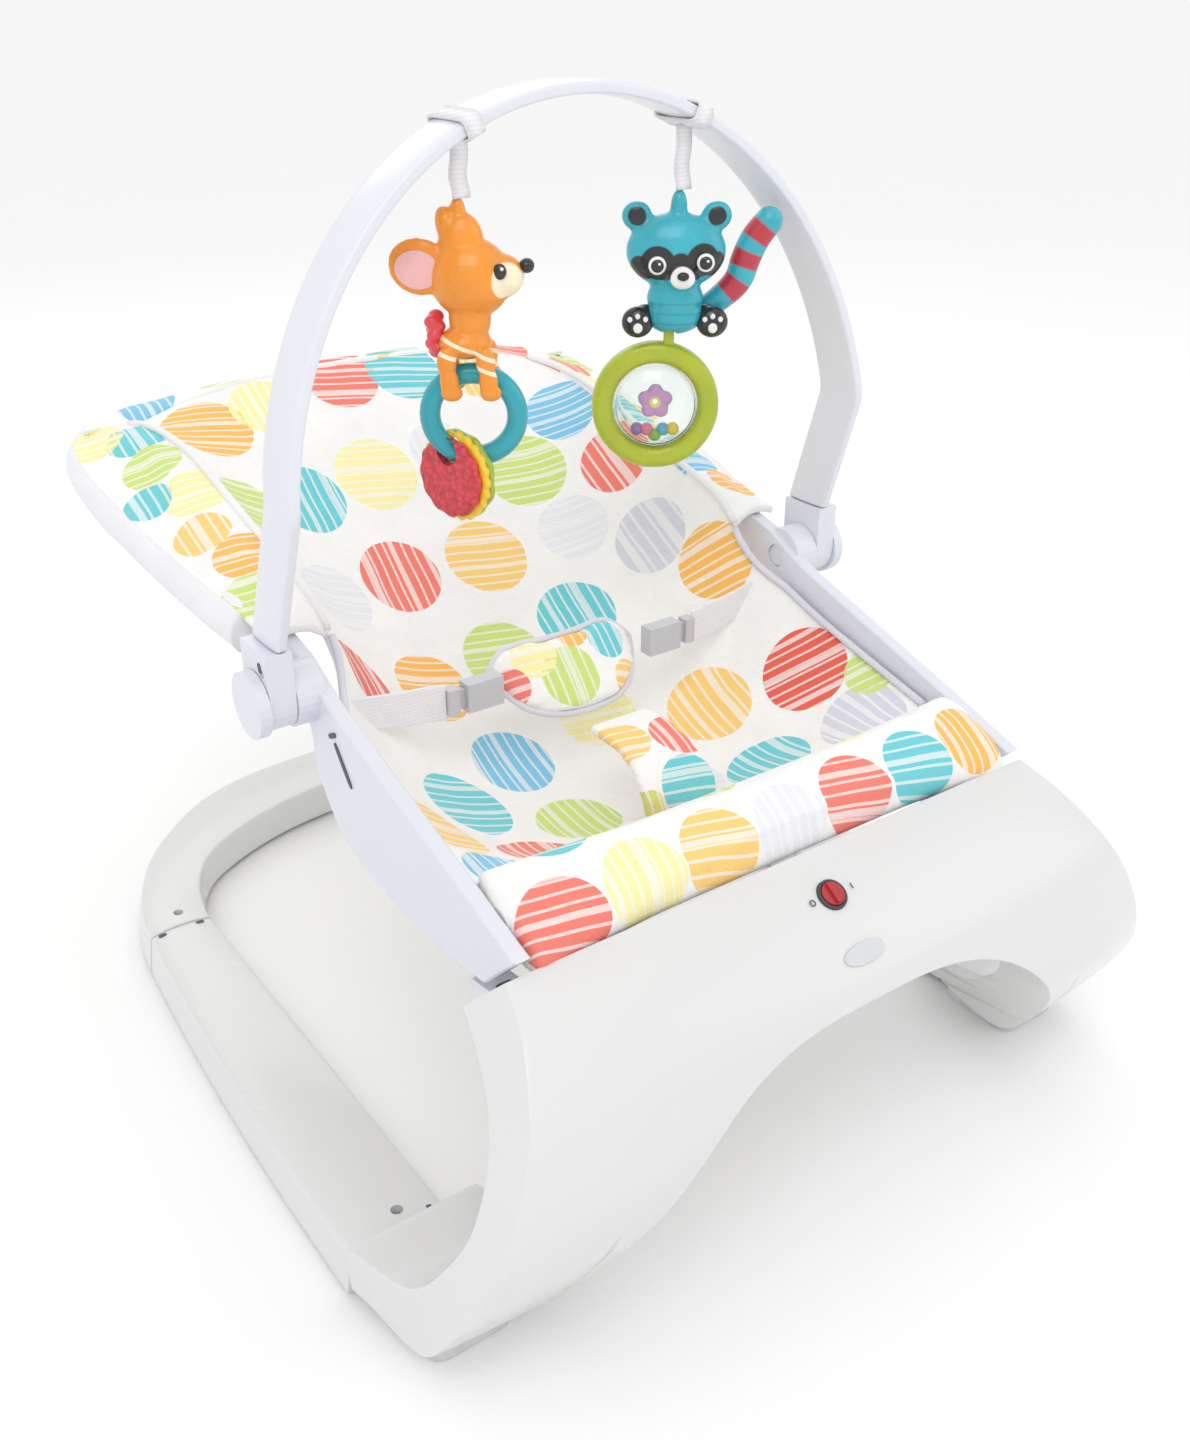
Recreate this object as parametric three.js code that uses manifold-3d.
// Infant bouncer seat with a C-shaped spring base, a padded sling seat, a toy bar and two hanging toys.
// Millimetres. +Z is up, the front fascia faces -Y, and the origin is on the floor under the middle.
import * as THREE from 'three';
import { mergeVertices } from 'three/addons/utils/BufferGeometryUtils.js';
import Module from 'manifold-3d';

const wasm = await Module();
wasm.setup();

// ---- driving dimensions -------------------------------------------------------------------------
const GAP = 0.3;               // clearance between pieces that touch
const WALL = 3;                // moulded wall of the base

const FOOT_HALF_WIDTH = 242;   // half width of the C at the floor
const TOP_HALF_WIDTH = 172;    // half width of the C at its top
const C_TOP = 207;             // height of the C's top edge
const ARCH_HALF_WIDTH = 186;   // cut-out between the front feet
const ARCH_HEIGHT = 152;
const ARCH_POWER = 3.2;
const ARCH_STEPS = 9;

const RAIL_BOTTOM = 3;
const RAIL_TOP = 32;
const RAIL_INNER = 191.5;      // inner edge of both floor rails
const RAIL_FRONT = -186.4;
const JOINT_Y = 131;           // where the rails meet the rear loop

const PANEL_X = 168;           // middle of the seat's side panels
const PANEL_THICK = 9;

const HUB_Y = -31;             // pivot of the toy bar
const HUB_Z = 265;
const HUB_RADIUS = 18.5;
const PIVOT_RADIUS = 7;

const BAR_BEND_Z = 375;        // where the bar's legs turn into the arch
const BAR_BASE_Z = 297;        // where the legs enter their sockets
const BAR_WIDTH = 32;
const BAR_THICK = 8;
const ARCH_CENTRE_Z = 347;
const ARCH_RADIUS_X = 188;
const ARCH_RADIUS_Z = 207;
const ARCH_LEAN = 0.128;

const TUBE_RADIUS = 8;         // steel tube round the seat back
const FRONT_TUBE = [-206, 212];
const FRONT_TUBE_RADIUS = 7;

const TOY_Y = -36;             // both toys hang below the middle of the bar
const TOY_YAW = -35 * Math.PI / 180;
const DEER_X = -68;
const RACCOON_X = 72;

// ---- materials ----------------------------------------------------------------------------------
function paint(color, roughness = 0.35, metalness = 0) {
  return () => new THREE.MeshStandardMaterial({ color, roughness, metalness });
}
const baseWhite = paint(0xebebeb, 0.25);
const coolWhite = paint(0xe0e2ef, 0.3);
const steel = paint(0xb9bcc0, 0.3, 1);
const darkPlastic = paint(0x2c2c30, 0.5);
const rubber = paint(0xd9d9d6, 0.8);
const fabric = paint(0xf3f1ec, 0.95);
const webbing = paint(0xf0eef2, 0.85);
const clearPlastic = paint(0xe8f0ea, 0.1);
const orange = paint(0xf07d12, 0.35);
const teal = paint(0x12a3b8, 0.3);
const lime = paint(0x9db51f, 0.3);
const red = paint(0xd8252b, 0.4);
const purple = paint(0x9b6fb0, 0.3);
const copper = paint(0xb8873b, 0.35, 1);

// ---- helpers ------------------------------------------------------------------------------------
const bouncer = new THREE.Group();

function add(name, geometry, material, parent = bouncer) {
  const mesh = new THREE.Mesh(geometry, material());
  mesh.name = name;
  parent.add(mesh);
  return mesh;
}

function bothSides(build) {
  for (const [side, sign] of [['left', -1], ['right', 1]]) build(side, sign);
}

function bare(geometry) {
  const copy = geometry.clone();
  copy.deleteAttribute('normal');
  copy.deleteAttribute('uv');
  return mergeVertices(copy, 1e-3);
}

function signedVolume(geometry) {
  const p = geometry.attributes.position;
  const index = geometry.index;
  const [a, b, c] = [new THREE.Vector3(), new THREE.Vector3(), new THREE.Vector3()];
  let sum = 0;
  for (let i = 0; i < index.count; i += 3) {
    a.fromBufferAttribute(p, index.getX(i));
    b.fromBufferAttribute(p, index.getX(i + 1));
    c.fromBufferAttribute(p, index.getX(i + 2));
    sum += a.dot(b.cross(c));
  }
  return sum;
}

function facingOut(geometry) {
  const g = bare(geometry);
  if (signedVolume(g) > 0) return g;
  const order = Array.from(g.index.array);
  for (let i = 0; i < order.length; i += 3) [order[i], order[i + 1]] = [order[i + 1], order[i]];
  g.setIndex(order);
  return g;
}

function mirrored(geometry, sign) {
  return facingOut(geometry.scale(sign, 1, 1));
}

function solid(geometry) {
  const g = facingOut(geometry);
  return new wasm.Manifold(new wasm.Mesh({
    numProp: 3,
    vertProperties: new Float32Array(g.attributes.position.array),
    triVerts: new Uint32Array(g.index.array),
  }));
}

function geometryOf(manifold) {
  const mesh = manifold.getMesh();
  const g = new THREE.BufferGeometry();
  g.setAttribute('position', new THREE.BufferAttribute(new Float32Array(mesh.vertProperties), 3));
  g.setIndex(new THREE.BufferAttribute(new Uint32Array(mesh.triVerts), 1));
  return g;
}

function joined(...geometries) {
  return geometryOf(geometries.map(solid).reduce((sum, piece) => sum.add(piece)));
}

function cut(geometry, ...tools) {
  return geometryOf(tools.map(solid).reduce((rest, tool) => rest.subtract(tool), solid(geometry)));
}

// A block whose three directions u, s and t (each 0 to 1) are bent into place by place(u, s, t).
function block(place, nu, ns, nt = 1) {
  const g = new THREE.BoxGeometry(1, 1, 1, nu, ns, nt);
  const p = g.attributes.position;
  for (let i = 0; i < p.count; i++) {
    const [x, y, z] = place(p.getX(i) + 0.5, p.getY(i) + 0.5, p.getZ(i) + 0.5);
    p.setXYZ(i, x, y, z);
  }
  return facingOut(g);
}

function box(x0, x1, y0, y1, z0, z1) {
  const g = new THREE.BoxGeometry(x1 - x0, y1 - y0, z1 - z0);
  return g.translate((x0 + x1) / 2, (y0 + y1) / 2, (z0 + z1) / 2);
}

function ball(rx, ry, rz, x, y, z, segments = 10) {
  return new THREE.SphereGeometry(1, segments, Math.round(segments * 0.6)).scale(rx, ry, rz).translate(x, y, z);
}

function rodX(radius, x0, x1, y, z, sides = 24) {
  return new THREE.CylinderGeometry(radius, radius, Math.abs(x1 - x0), sides)
    .rotateZ(Math.PI / 2).translate((x0 + x1) / 2, y, z);
}

function rodZ(radius, z0, z1, x, y, sides = 20) {
  return new THREE.CylinderGeometry(radius, radius, z1 - z0, sides)
    .rotateX(Math.PI / 2).translate(x, y, (z0 + z1) / 2);
}

function rodY(radius, y0, y1, x, z, sides = 24) {
  return new THREE.CylinderGeometry(radius, radius, y1 - y0, sides).translate(x, (y0 + y1) / 2, z);
}

function roundSection(radius, sides) {
  const ring = [];
  for (let i = 0; i < sides; i++) {
    const a = 2 * Math.PI * i / sides;
    ring.push(new THREE.Vector2(radius * Math.cos(a), radius * Math.sin(a)));
  }
  return new THREE.Shape(ring);
}

function roundedPlate(halfX, halfY, corner, height) {
  const s = new THREE.Shape();
  s.moveTo(-halfX + corner, -halfY);
  s.lineTo(halfX - corner, -halfY);
  s.absarc(halfX - corner, -halfY + corner, corner, -Math.PI / 2, 0);
  s.absarc(halfX - corner, halfY - corner, corner, 0, Math.PI / 2);
  s.absarc(-halfX + corner, halfY - corner, corner, Math.PI / 2, Math.PI);
  s.absarc(-halfX + corner, -halfY + corner, corner, Math.PI, 1.5 * Math.PI);
  return new THREE.ExtrudeGeometry(s, { depth: height, bevelEnabled: false, curveSegments: 4 });
}

function curveYZ(points) {
  return new THREE.CatmullRomCurve3(points.map(([y, z]) => new THREE.Vector3(0, y, z)));
}

// A function through points [input, output], smooth between them and level beyond the ends.
function through(points) {
  return (value) => {
    if (value <= points[0][0]) return points[0][1];
    for (let i = 1; i < points.length; i++) {
      const [x0, y0] = points[i - 1];
      const [x1, y1] = points[i];
      if (value <= x1) {
        const t = (value - x0) / (x1 - x0);
        return y0 + (y1 - y0) * (t * 0.6 + 0.4 * t * t * (3 - 2 * t));
      }
    }
    return points[points.length - 1][1];
  };
}

// ---- the C-shaped front of the base -------------------------------------------------------------
const cFront = curveYZ([[-236, 203], [-257, 194], [-279, 178], [-295, 160], [-303, 141],
  [-308, 116], [-304, 90], [-279, 45], [-250, 11], [-195, 10]]);
const cBack = curveYZ([[-214, 180], [-238, 168], [-257, 154], [-269, 136], [-273, 115],
  [-271, 100], [-262, 80], [-245, 55], [-226, 41], [-187, 35]]);
const FOOT_FLARE = 9;          // how far the lower lip widens to meet the rails

function cHalfWidth(z, s) {
  const flare = FOOT_FLARE * Math.max(0, (s - 0.85) / 0.15) ** 2;
  return TOP_HALF_WIDTH + (FOOT_HALF_WIDTH - TOP_HALF_WIDTH) * (1 - Math.max(0, z / C_TOP) ** 2) + flare;
}

// u runs across from -1 to 1, s from the top edge to the foot, t from the front face to the back.
function cPoint(u, s, t) {
  const front = cFront.getPoint(s);
  const back = cBack.getPoint(s);
  const inward = back.clone().sub(front);
  const depth = inward.length();
  const crown = (4 + 7 * Math.exp(-(((front.z - 115) / 60) ** 2))) * Math.abs(u) ** 6;
  const p = front.add(inward.normalize().multiplyScalar(crown + t * (depth - crown)));
  return [u * cHalfWidth(p.z, s), p.y, p.z];
}

function cSlab(uMax, s0, s1, t0, t1) {
  const place = (u, s, t) => {
    const across = uMax * Math.sin((u - 0.5) * Math.PI);
    return cPoint(across, s0 + s * (s1 - s0), t0 + t * (t1 - t0));
  };
  return block(place, 12, 12);
}

function archPrism(grow) {
  const shape = new THREE.Shape();
  const half = ARCH_HALF_WIDTH + grow;
  shape.moveTo(-half, -60);
  for (let i = -ARCH_STEPS; i <= ARCH_STEPS; i++) {
    const across = Math.sin(i / ARCH_STEPS * Math.PI / 2);
    shape.lineTo(half * across, (ARCH_HEIGHT + grow) * (1 - Math.abs(across) ** ARCH_POWER));
  }
  shape.lineTo(half, -60);
  return new THREE.ExtrudeGeometry(shape, { depth: 260, bevelEnabled: false })
    .rotateX(Math.PI / 2).translate(0, -90, 0);
}

const KNOB = { y: -261, z: 192.2, tilt: 0.56 };          // on the fascia, facing up and forward
function ontoKnobAxis(geometry) {
  return geometry.rotateX(KNOB.tilt).translate(0, KNOB.y, KNOB.z);
}
function knobRod(radius, low, high) {
  return ontoKnobAxis(rodZ(radius, low, high, 0, 0));
}

const DOOR = { halfX: 32.5, y0: -289, y1: -265, z0: 151.4, z1: 153.8 };

const cavity = solid(cSlab(0.98, 0.015, 0.985, 0.06, 0.95)).subtract(solid(archPrism(WALL)));
const fasciaShell = solid(cSlab(1, 0, 1, 0, 0.93))
  .subtract(cavity)
  .subtract(solid(archPrism(0)))
  .subtract(solid(knobRod(8.6, -12, 12)))
  .subtract(solid(box(-DOOR.halfX - 0.6, DOOR.halfX + 0.6, DOOR.y0 - 0.6, DOOR.y1 + 0.6, 140, 160)));
add('front_fascia', geometryOf(fasciaShell), baseWhite);
add('fascia_back_cover', cut(cSlab(1, 0, 1, 0.94, 1), archPrism(0)), baseWhite);

// ---- floor rails, rear loop, feet and the screws that join them ---------------------------------
function railOuter(y) {
  const t = THREE.MathUtils.clamp((y + 150) / (JOINT_Y + 150), 0, 1);
  return 250.5 - 13.5 * t * t;
}

function screw(radius, length) {
  return joined(rodZ(radius, -2, 0, 0, 0, 16), rodZ(radius * 0.5, -length, -1, 0, 0, 12));
}

const rearInner = [[191.5, JOINT_Y], [189, 146], [181, 174], [161, 205], [126, 227], [87, 241], [45, 248]];
const rearOuter = [[237, JOINT_Y], [232, 160], [222, 190], [203, 225],
  [176, 256], [138, 286], [95, 301], [45, 306.5]];

function rearOutline() {
  const point = ([x, y]) => new THREE.Vector2(x, y);
  const mirror = ([x, y]) => new THREE.Vector2(-x, y);
  const outer = [...rearOuter.map(point), new THREE.Vector2(0, 307.9), ...rearOuter.map(mirror).reverse()];
  const inner = [...rearInner.map(mirror), new THREE.Vector2(0, 249), ...rearInner.map(point).reverse()];
  const shape = new THREE.Shape();
  shape.setFromPoints([
    ...new THREE.SplineCurve(outer).getPoints(26),
    ...new THREE.SplineCurve(inner).getPoints(22),
  ]);
  return shape;
}

const LOOP_BEVEL = 2.5;
const rearLoop = new THREE.ExtrudeGeometry(rearOutline(), {
  depth: RAIL_TOP - RAIL_BOTTOM - 2 * LOOP_BEVEL,
  bevelThickness: LOOP_BEVEL,
  bevelSize: LOOP_BEVEL,
  bevelOffset: -LOOP_BEVEL,
  bevelSegments: 1,
}).translate(0, 2.6 * GAP, RAIL_BOTTOM + LOOP_BEVEL);

const REAR_SCREW = [208, 146];
const FRONT_SCREW = [214, -176];
const SCREW_HOLE = 3.6;
const SCREW_BORE = 1.9;
const rearHoles = [-1, 1].map((sign) => rodZ(SCREW_HOLE, 26, 40, sign * REAR_SCREW[0], REAR_SCREW[1], 16));
const rearBores = [-1, 1].map((sign) => rodZ(SCREW_BORE, 14, 30, sign * REAR_SCREW[0], REAR_SCREW[1], 12));
add('rear_loop', cut(rearLoop, ...rearHoles, ...rearBores), baseWhite);

bothSides((side, sign) => {
  const rail = block((u, s, t) => {
    const y = RAIL_FRONT + s * (JOINT_Y - RAIL_FRONT);
    const outer = railOuter(y) - (t > 0.5 ? 4 : 0);
    const x = sign * (RAIL_INNER + u * (outer - RAIL_INNER));
    const top = RAIL_TOP - 4.5 * Math.sin(Math.PI * u) ** 0.7 * Math.sin(Math.PI * s) ** 0.25;
    return [x, y, RAIL_BOTTOM + t * (top - RAIL_BOTTOM)];
  }, 4, 8);
  const [x, y] = FRONT_SCREW;
  const headHole = rodZ(SCREW_HOLE, 24, 40, sign * x, y, 16);
  const screwBore = rodZ(SCREW_BORE, 13, 30, sign * x, y, 12);
  add(`${side}_floor_rail`, cut(rail, headHole, screwBore), baseWhite);
  add(`${side}_front_screw`, screw(3.1, 10).translate(sign * x, y, 26.4), steel);
  add(`${side}_rear_screw`, screw(3.1, 10).translate(sign * REAR_SCREW[0], REAR_SCREW[1], 28.4), steel);
  const frontFoot = roundedPlate(24, 27, 9, 8.3).translate(sign * 211, -221, 0);
  add(`${side}_front_foot`, frontFoot, rubber);
  add(`${side}_rear_foot`, rodZ(13, 0, RAIL_BOTTOM - GAP, sign * 128, 259), rubber);
});

// ---- vibration unit inside the front ------------------------------------------------------------
const CELL = { y: -269, z: 166.5, radius: 7.1, x0: -25, x1: 25 };
add('battery_cell', joined(rodX(CELL.radius, CELL.x0, CELL.x1 - 2, CELL.y, CELL.z),
  rodX(2.6, CELL.x1 - 3, CELL.x1, CELL.y, CELL.z, 16)), copper);
const contact = box(CELL.x1 + 0.5, CELL.x1 + 1.3, CELL.y - 5, CELL.y + 5, CELL.z - 5, CELL.z + 5);
add('battery_contact', contact, copper);
const MOTOR = { x0: -62, x1: -38, radius: 6 };
add('vibration_motor', joined(rodX(MOTOR.radius, MOTOR.x0, MOTOR.x1, CELL.y, CELL.z),
  rodX(1.2, MOTOR.x1 - 1, MOTOR.x1 + 9.5, CELL.y, CELL.z, 12)), steel);
const eccentricHalf = new THREE.Shape();
eccentricHalf.absarc(0, 0, 5.6, Math.PI, 2 * Math.PI);
eccentricHalf.lineTo(3, 2.6);
eccentricHalf.lineTo(-3, 2.6);
const eccentric = new THREE.ExtrudeGeometry(eccentricHalf, { depth: 6, bevelEnabled: false, curveSegments: 10 })
  .rotateX(Math.PI / 2).rotateZ(Math.PI / 2).translate(MOTOR.x1 + 2, CELL.y, CELL.z);
add('eccentric_weight', cut(eccentric, rodX(1.35, MOTOR.x1 - 2, MOTOR.x1 + 12, CELL.y, CELL.z, 12)), copper);
const cradleFloor = box(-52, 29, CELL.y - 8, CELL.y + 8, 156.2, 158);
const cradleEnd = box(27, 29, CELL.y - 6, CELL.y + 6, 157, 172);
const motorRest = box(-51, -42, CELL.y - 5, CELL.y + 5, 157.5, 160);
add('vibration_cradle', joined(cradleFloor, cradleEnd, motorRest), darkPlastic);
add('battery_door', cut(box(-DOOR.halfX, DOOR.halfX, DOOR.y0, DOOR.y1, DOOR.z0, DOOR.z1),
  rodZ(2, 140, 160, 0, DOOR.y0 + 6, 12)), baseWhite);
add('battery_door_screw', rodZ(1.7, DOOR.z0 + 0.2, DOOR.z1, 0, DOOR.y0 + 6, 12), steel);

// ---- rotary switch on the fascia ----------------------------------------------------------------
const bezelProfile = [[6.9, -4], [8.3, -4], [8.3, 0.8], [7.6, 1.3], [6.9, 1.1]]
  .map(([r, z]) => new THREE.Vector2(r, z));
const bezel = new THREE.LatheGeometry([...bezelProfile, bezelProfile[0]], 24).rotateX(Math.PI / 2);
add('switch_bezel', ontoKnobAxis(facingOut(bezel)), darkPlastic);
add('switch_knob', ontoKnobAxis(joined(rodZ(6.5, -3.6, 1.6, 0, 0), box(-1.4, 1.4, -5.6, 5.6, 1, 3.2))), red);

// ---- seat mounts on the base and the seat's hard frame ------------------------------------------
const panelTop = [[-140, 238.5], [-95, 252.5], [-62, 263], [-46, 270]];
const panelBottom = [[-30, 245], [-34, 222], [-45, 202], [-63, 186], [-97, 177], [-150, 174], [-188, 177]];

function panelShape() {
  const s = new THREE.Shape();
  s.moveTo(-234, 208.5);
  s.splineThru([[-182, 225.5], ...panelTop].map(([y, z]) => new THREE.Vector2(y, z)));
  s.lineTo(-24, 281);
  s.lineTo(14, 290);
  s.absarc(14, 280, 10, Math.PI / 2, -Math.PI / 2, true);
  s.lineTo(-8, 258);
  s.splineThru(panelBottom.map(([y, z]) => new THREE.Vector2(y, z)));
  s.lineTo(-205.5, 179.5);
  return s;
}

const MOUNT_X = 159;
const MOUNT_WIDTH = 18;
const mountSide = new THREE.Shape([[-221, 173.6], [-186, 168.4], [-186, 154], [-249, 155.4], [-240, 162.6]]
  .map(([y, z]) => new THREE.Vector2(y, z)));

bothSides((side, sign) => {
  const mountBlock = new THREE.ExtrudeGeometry(mountSide, { depth: MOUNT_WIDTH, bevelEnabled: false })
    .rotateX(Math.PI / 2).rotateZ(Math.PI / 2).translate(-MOUNT_WIDTH / 2, 0, 0);
  const mount = cut(mountBlock, box(-20, 20, -214, -200, 162, 168)).translate(sign * MOUNT_X, 0, 0);
  add(`${side}_seat_mount`, mount, coolWhite);

  const plate = new THREE.ExtrudeGeometry(panelShape(), {
    depth: PANEL_THICK - 2,
    bevelThickness: 1,
    bevelSize: 1,
    bevelOffset: -1,
    bevelSegments: 1,
    curveSegments: 3,
  }).rotateX(Math.PI / 2).rotateZ(Math.PI / 2).translate(sign * PANEL_X - (PANEL_THICK - 2) / 2, 0, 0);
  const pivotBore = rodX(PIVOT_RADIUS + 0.4, sign * 150, sign * 200, HUB_Y, HUB_Z);
  const boss = rodX(HUB_RADIUS - 1, sign * PANEL_X, sign * 184.5, HUB_Y, HUB_Z);
  add(`${side}_side_panel`, cut(joined(plate, boss), pivotBore), coolWhite);
  const pin = rodX(PIVOT_RADIUS, sign * 165, sign * 201, HUB_Y, HUB_Z);
  const cap = rodX(HUB_RADIUS, sign * 200, sign * 206.5, HUB_Y, HUB_Z);
  add(`${side}_hub_cap`, joined(pin, cap), coolWhite);
});

const frontTube = rodX(FRONT_TUBE_RADIUS, -162.8, 162.8, ...FRONT_TUBE, 16);
add('front_cross_tube', frontTube, steel);

const backTubeSide = [[178, 26, 285], [184, 60, 292], [189, 110, 300], [193, 165, 309], [195, 215, 319],
  [190, 250, 327], [170, 268, 333], [135, 274, 336], [70, 276, 339]];
const backTubePath = new THREE.CatmullRomCurve3([
  ...backTubeSide.map(([x, y, z]) => [-x, y, z]), [0, 276, 340], ...backTubeSide.slice().reverse(),
].map((p) => new THREE.Vector3(...p)));
add('seat_back_tube', new THREE.ExtrudeGeometry(roundSection(TUBE_RADIUS, 8), {
  steps: 30,
  bevelEnabled: false,
  extrudePath: backTubePath,
}), steel);

// ---- soft cover: sling, wings and front roll ----------------------------------------------------
const slingMiddle = through([[-176, 202], [-150, 180], [-110, 160], [-60, 162], [0, 180], [60, 216],
  [120, 260], [180, 308], [225, 346], [254, 363]]);
const slingEdge = through([[-176, 212], [-120, 226], [-70, 240], [-30, 258], [0, 292], [22, 300], [55, 309],
  [88, 318], [123, 328], [160, 338], [198, 341], [233, 340], [254, 337]]);
const slingHalfWidth = through([[-176, 161], [-50, 160], [-15, 147], [160, 149], [233, 152], [254, 158]]);
const SLING_THICK = 12;
const SLING_FRONT = -176;
const SLING_BACK = 254;
const sling = block((u, s, t) => {
  const y = SLING_FRONT + s * (SLING_BACK - SLING_FRONT);
  const across = 2 * u - 1;
  const z = slingMiddle(y) + (slingEdge(y) - slingMiddle(y)) * Math.abs(across) ** 3;
  return [across * slingHalfWidth(y), y, z - (1 - t) * SLING_THICK];
}, 8, 16);
const beltSlots = [-1, 1].map((sign) => box(118, 170, -40, -25, 216, 262).scale(sign, 1, 1));
add('seat_sling', cut(sling, ...beltSlots), fabric);

const wingOuter = through([[-8, 174], [30, 180], [110, 191], [215, 197], [246, 190]]);
const wingOuterTop = through([[-8, 300], [30, 306], [60, 312], [110, 320], [165, 329], [215, 339], [246, 347]]);
const WING_THICK = 9;
const WING_FRONT = -8;
const WING_BACK = 246;
bothSides((side, sign) => {
  add(`${side}_side_wing`, block((u, s, t) => {
    const y = WING_FRONT + s * (WING_BACK - WING_FRONT);
    const inner = slingHalfWidth(y) + 1.2;
    const swell = 5 * Math.sin(Math.PI * u) * t;
    const top = slingEdge(y) + (wingOuterTop(y) - slingEdge(y)) * u + swell;
    return [sign * (inner + u * (wingOuter(y) - inner)), y, top - (1 - t) * WING_THICK];
  }, 4, 10), fabric);
});

const roll = block((u, s, t) => {
  const angle = 0.42;
  const [a, b] = [(s - 0.5) * 2, (t - 0.5) * 2];
  const along = a * 27 * Math.sqrt(1 - 0.45 * b * b);
  const up = b * 13 * Math.sqrt(1 - 0.45 * a * a);
  const y = -206 + along * Math.cos(angle) - up * Math.sin(angle);
  const z = 214 + along * Math.sin(angle) + up * Math.cos(angle);
  return [(u - 0.5) * 2 * 162.6, y, z];
}, 2, 6, 4);
add('front_roll', cut(roll, rodX(FRONT_TUBE_RADIUS + 0.5, -170, 170, ...FRONT_TUBE, 16)), fabric);

// ---- restraint: crotch pad, waist pad, side belts and buckles -----------------------------------
const crotchPath = curveYZ([[-141, 183], [-136, 196], [-122, 208], [-102, 213], [-78, 213]]);
add('crotch_pad', block((u, s, t) => {
  const p = crotchPath.getPoint(s);
  const d = crotchPath.getTangent(s);
  const lift = (t - 0.5) * 10;
  return [(u - 0.5) * (54 - 10 * s), p.y - d.z * lift, p.z + d.y * lift];
}, 4, 10), fabric);

function waistPoint(across, up, out) {
  const bend = 16 * across * across;
  return [52 * across, -52 + 34 * up - 9 * out + bend, 210 + 36 * up + 8 * out + 4 * across * across];
}
add('waist_pad', block((u, s, t) => {
  const across = 2 * u - 1;
  const round = Math.sqrt(Math.max(0.05, 1 - Math.abs(across) ** 3.5));
  const up = 0.5 + (s - 0.5) * round;
  return waistPoint(across, up, (t - 0.5) * (0.5 + round));
}, 10, 6), fabric);

bothSides((side, sign) => {
  const socket = cut(box(54, 78, -40, -30, 225, 243), box(66, 90, -37.2, -32.8, 227.6, 240.4));
  add(`${side}_buckle_socket`, mirrored(socket, sign), darkPlastic);
  const tongue = joined(box(67, 84, -36.8, -33.2, 228, 240), box(83, 90, -39, -31, 226, 242));
  add(`${side}_buckle_tongue`, mirrored(tongue, sign), darkPlastic);
  add(`${side}_waist_belt`, block((u, s, t) => {
    const x = 90.3 + s * 44;
    return [sign * x, -36 + 2 * t + 6 * s, 222.5 + 5 * s + 23 * u];
  }, 1, 6), webbing);
});

// ---- toy bar ------------------------------------------------------------------------------------
function barFrontY(z) {
  const lean = -121 + ARCH_LEAN * z;
  if (z > BAR_BEND_Z) return lean;
  const t = (BAR_BEND_Z - z) / (BAR_BEND_Z - BAR_BASE_Z);
  return -121 + ARCH_LEAN * BAR_BEND_Z + 26 * t;
}

function barPoint(s, across, out) {
  const legShare = 0.14;
  let x;
  let z;
  let normal;
  const side = s < 0.5 ? -1 : 1;
  const fromEnd = s < 0.5 ? s : 1 - s;
  if (fromEnd < legShare) {
    const t = fromEnd / legShare;
    x = side * (190 - 4 * t);
    z = BAR_BASE_Z + GAP + t * (BAR_BEND_Z - BAR_BASE_Z - GAP);
    normal = [side, 0];
  } else {
    const start = Math.asin((BAR_BEND_Z - ARCH_CENTRE_Z) / ARCH_RADIUS_Z);
    const t = (fromEnd - legShare) / (0.5 - legShare);
    const a = start + t * (Math.PI / 2 - start);
    x = side * ARCH_RADIUS_X * Math.cos(a);
    z = ARCH_CENTRE_Z + ARCH_RADIUS_Z * Math.sin(a);
    const n = new THREE.Vector2(side * Math.cos(a) / ARCH_RADIUS_X, Math.sin(a) / ARCH_RADIUS_Z).normalize();
    normal = [n.x, n.y];
  }
  return [x + normal[0] * out, barFrontY(z) + across * BAR_WIDTH, z + normal[1] * out];
}

const barBody = block((u, s, t) => {
  const rounded = BAR_THICK * (0.5 + 0.5 * Math.sin(Math.PI * u) ** 0.4);
  return barPoint(s, u, (t - 0.5) * rounded);
}, 4, 34);
add('toy_bar', barBody, coolWhite);

bothSides((side, sign) => {
  const upper = box(184.9, 199.6, HUB_Y - 16, HUB_Y + 16, HUB_Z, BAR_BASE_Z - 0.3);
  const round = rodX(16, 184.9, 199.6, HUB_Y, HUB_Z);
  const bore = rodX(PIVOT_RADIUS + 0.3, 150, 220, HUB_Y, HUB_Z);
  const pocket = rodX(2.4, 197.6, 210, HUB_Y - 9, HUB_Z + 20, 12);
  const socket = cut(joined(upper, round), bore, pocket);
  add(`${side}_bar_socket`, mirrored(socket, sign), coolWhite);
  add(`${side}_socket_screw`, rodX(2, sign * 197.9, sign * 199.4, HUB_Y - 9, HUB_Z + 20, 12), steel);
});

// ---- hanging toys -------------------------------------------------------------------------------
function barUnderside(x) {
  const innerX = ARCH_RADIUS_X - BAR_THICK / 2;
  const innerZ = ARCH_RADIUS_Z - BAR_THICK / 2;
  return ARCH_CENTRE_Z + innerZ * Math.sqrt(1 - (x / innerX) ** 2);
}

const STRAP_WIDTH = 10;
const STRAP_THICK = 1.6;
const PIVOT_DROP = 8;          // the strap's pivot below the bar's underside

function strapLoop(x) {
  const top = barUnderside(x) + BAR_THICK;
  const middle = barFrontY(top) + BAR_WIDTH / 2;
  const [h, w] = [STRAP_WIDTH / 2, BAR_WIDTH / 2];
  const outer = box(x - h, x + h, middle - w - 2.6, middle + w + 2.6, top - BAR_THICK - 5.6, top + 5.2);
  const inside = box(x - h - 9, x + h + 9, middle - w - 1, middle + w + 1, top - BAR_THICK - 4, top + 3.6);
  return cut(outer, inside);
}

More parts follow.
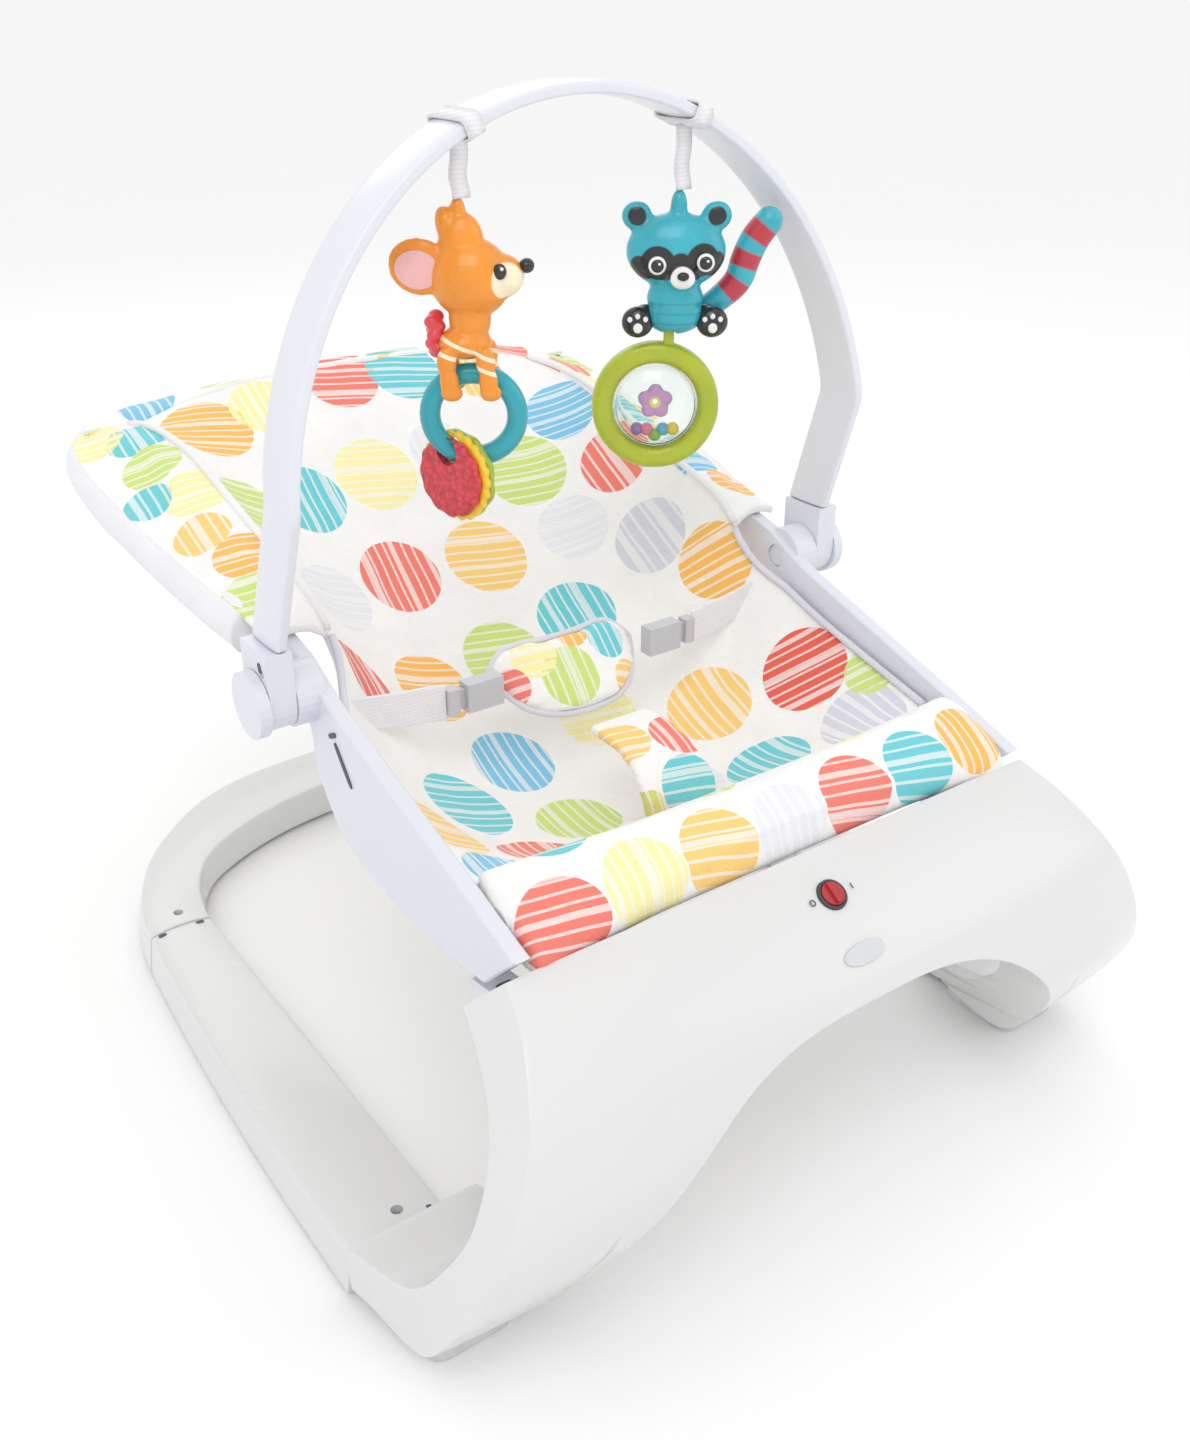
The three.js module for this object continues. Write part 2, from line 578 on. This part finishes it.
function hangingToy(x, prefix) {
  add(`${prefix}_strap_loop`, strapLoop(x), webbing);
  const pivotZ = barUnderside(x) - PIVOT_DROP;
  const strapEnd = prefix === 'deer' ? 506 : 499.5;
  const half = STRAP_WIDTH / 2;
  const strap = box(x - half, x + half, TOY_Y - 1.2 - STRAP_THICK, TOY_Y + 1.2, strapEnd, pivotZ + 0.8);
  add(`${prefix}_strap`, strap, webbing);
  const toy = new THREE.Group();
  toy.position.set(x, TOY_Y, 0);
  toy.rotation.z = TOY_YAW;
  bouncer.add(toy);
  return toy;
}

function ringTube(halfX, halfZ, tube, x, z) {
  const path = new THREE.CatmullRomCurve3([...Array(8).keys()].map((i) => {
    const a = 2 * Math.PI * i / 8;
    return new THREE.Vector3(x + halfX * Math.cos(a), 0, z + halfZ * Math.sin(a));
  }), true);
  return new THREE.ExtrudeGeometry(roundSection(tube, 8), {
    steps: 20,
    bevelEnabled: false,
    extrudePath: path,
  });
}

const RING = { halfX: 23, halfZ: 22, tube: 5.5, x: 3, z: 398 };
const ringOf = (tube) => ringTube(RING.halfX, RING.halfZ, tube, RING.x, RING.z);

const deer = hangingToy(DEER_X, 'deer');
const deerHead = [ball(21, 15, 24, 5, 0, 472), ball(13, 9, 9, 24, 0, 474), ball(7, 6, 13, 3, 0, 491)];
const deerTorso = [ball(14, 12, 22, 1, 0, 440), box(-13, 15, -15, 15, 429, 440)];
const deerLegs = [-9, 11].flatMap((x) => [-11, 11].map((y) => rodZ(5, 409, 434, x, y, 10)));
const deerTrim = [ball(16, 4, 13, -21, -3, 475), ball(4, 4, 4, 36, 0, 475.5), ball(6, 5, 10, -14, 0, 440)];
const deerBody = joined(...deerHead, ...deerTorso, ...deerLegs, ...deerTrim);
const ringSlot = box(-40, 40, -8, 8, 400, 427.5);
add('deer_toy', cut(deerBody, ringSlot), orange, deer);
add('teal_ring', facingOut(ringOf(RING.tube)), teal, deer);
const TEETHER = {
  radius: 25,
  half: 6.5,
  drop: 14.5,
  eye: 7.4,
  turn: 50 * Math.PI / 180,
  x: -8,
  z: 379.5,
  clearance: 1.3,
};
const teether = cut(rodX(TEETHER.radius, -TEETHER.half, TEETHER.half, 0, -TEETHER.drop, 28),
  rodX(TEETHER.eye, -20, 20, 0, 0, 20)).rotateZ(TEETHER.turn).translate(TEETHER.x, 0, TEETHER.z);
add('teether', cut(teether, ringOf(RING.tube + TEETHER.clearance)), red, deer);

const raccoon = hangingToy(RACCOON_X, 'raccoon');
const raccoonHead = [ball(29, 16, 23, -2, 0, 468), ball(5, 5, 7, -1, 0, 491), ball(9, 4, 8, -24, 0, 486),
  ball(9, 4, 8, 20, 0, 486)];
const raccoonBody = [ball(17, 13, 26, -2, 0, 440), box(-16, 12, -9, 9, 421, 440)];
const RATTLE = { x: -12, z: 381, outer: 37, inner: 24.5, pivot: 424.5 };
const raccoonPaws = [ball(10, 7, 9, -22, -4, 430), ball(10, 7, 9, 18, -4, 430)];
const tailCurve = new THREE.CatmullRomCurve3([[12, 432], [24, 440], [34, 450], [38, 462], [43, 473], [50, 482]]
  .map(([x, z]) => new THREE.Vector3(x, 9, z)));
const raccoonTail = new THREE.ExtrudeGeometry(roundSection(7, 8), {
  steps: 10,
  bevelEnabled: false,
  extrudePath: tailCurve,
});
const raccoonSolid = joined(...raccoonHead, ...raccoonBody, ...raccoonPaws, raccoonTail);
const flatBase = box(-60, 60, -30, 30, 400, 420.5);
const lugSlot = box(-8.6, -1.4, -20, 20, 410, 431);
add('raccoon_toy', cut(raccoonSolid, flatBase, lugSlot), teal, raccoon);

const rattleRing = cut(rodY(RATTLE.outer, -6.5, 6.5, RATTLE.x, RATTLE.z, 28),
  rodY(RATTLE.inner, -20, 20, RATTLE.x, RATTLE.z, 28));
const rattleLug = box(-8, -2, -4, 4, 412, 427);
add('rattle_ring', joined(rattleRing, rattleLug), lime, raccoon);

const DOME_STEPS = 3;
function domeHalf(sign) {
  const profile = [];
  const [outer, depth, wall] = [RATTLE.inner - GAP, 11, 1.2];
  for (let i = 0; i <= DOME_STEPS; i++) {
    const a = i / DOME_STEPS * Math.PI / 2;
    profile.push(new THREE.Vector2(outer * Math.cos(a), 0.2 + depth * Math.sin(a)));
  }
  profile[profile.length - 1].x = 0;
  for (let i = DOME_STEPS; i >= 0; i--) {
    const a = i / DOME_STEPS * Math.PI / 2;
    profile.push(new THREE.Vector2((outer - wall) * Math.cos(a), 0.2 + (depth - wall) * Math.sin(a)));
  }
  profile[DOME_STEPS + 1].x = 0;
  profile.push(profile[0].clone());
  return facingOut(new THREE.LatheGeometry(profile, 18).scale(1, sign, 1)).translate(RATTLE.x, 0, RATTLE.z);
}
add('rattle_front_window', domeHalf(-1), clearPlastic, raccoon);
add('rattle_back_window', domeHalf(1), clearPlastic, raccoon);
[[-0.32, purple], [0.32, red]].forEach(([angle, colour], i) => {
  const reach = 14.5;
  const [x, z] = [RATTLE.x + reach * Math.sin(angle), RATTLE.z - reach * Math.cos(angle)];
  const bead = ball(4.4, 4.4, 4.4, x, 0, z);
  add(`rattle_bead_${i + 1}`, bead, colour, raccoon);
});

export default bouncer;
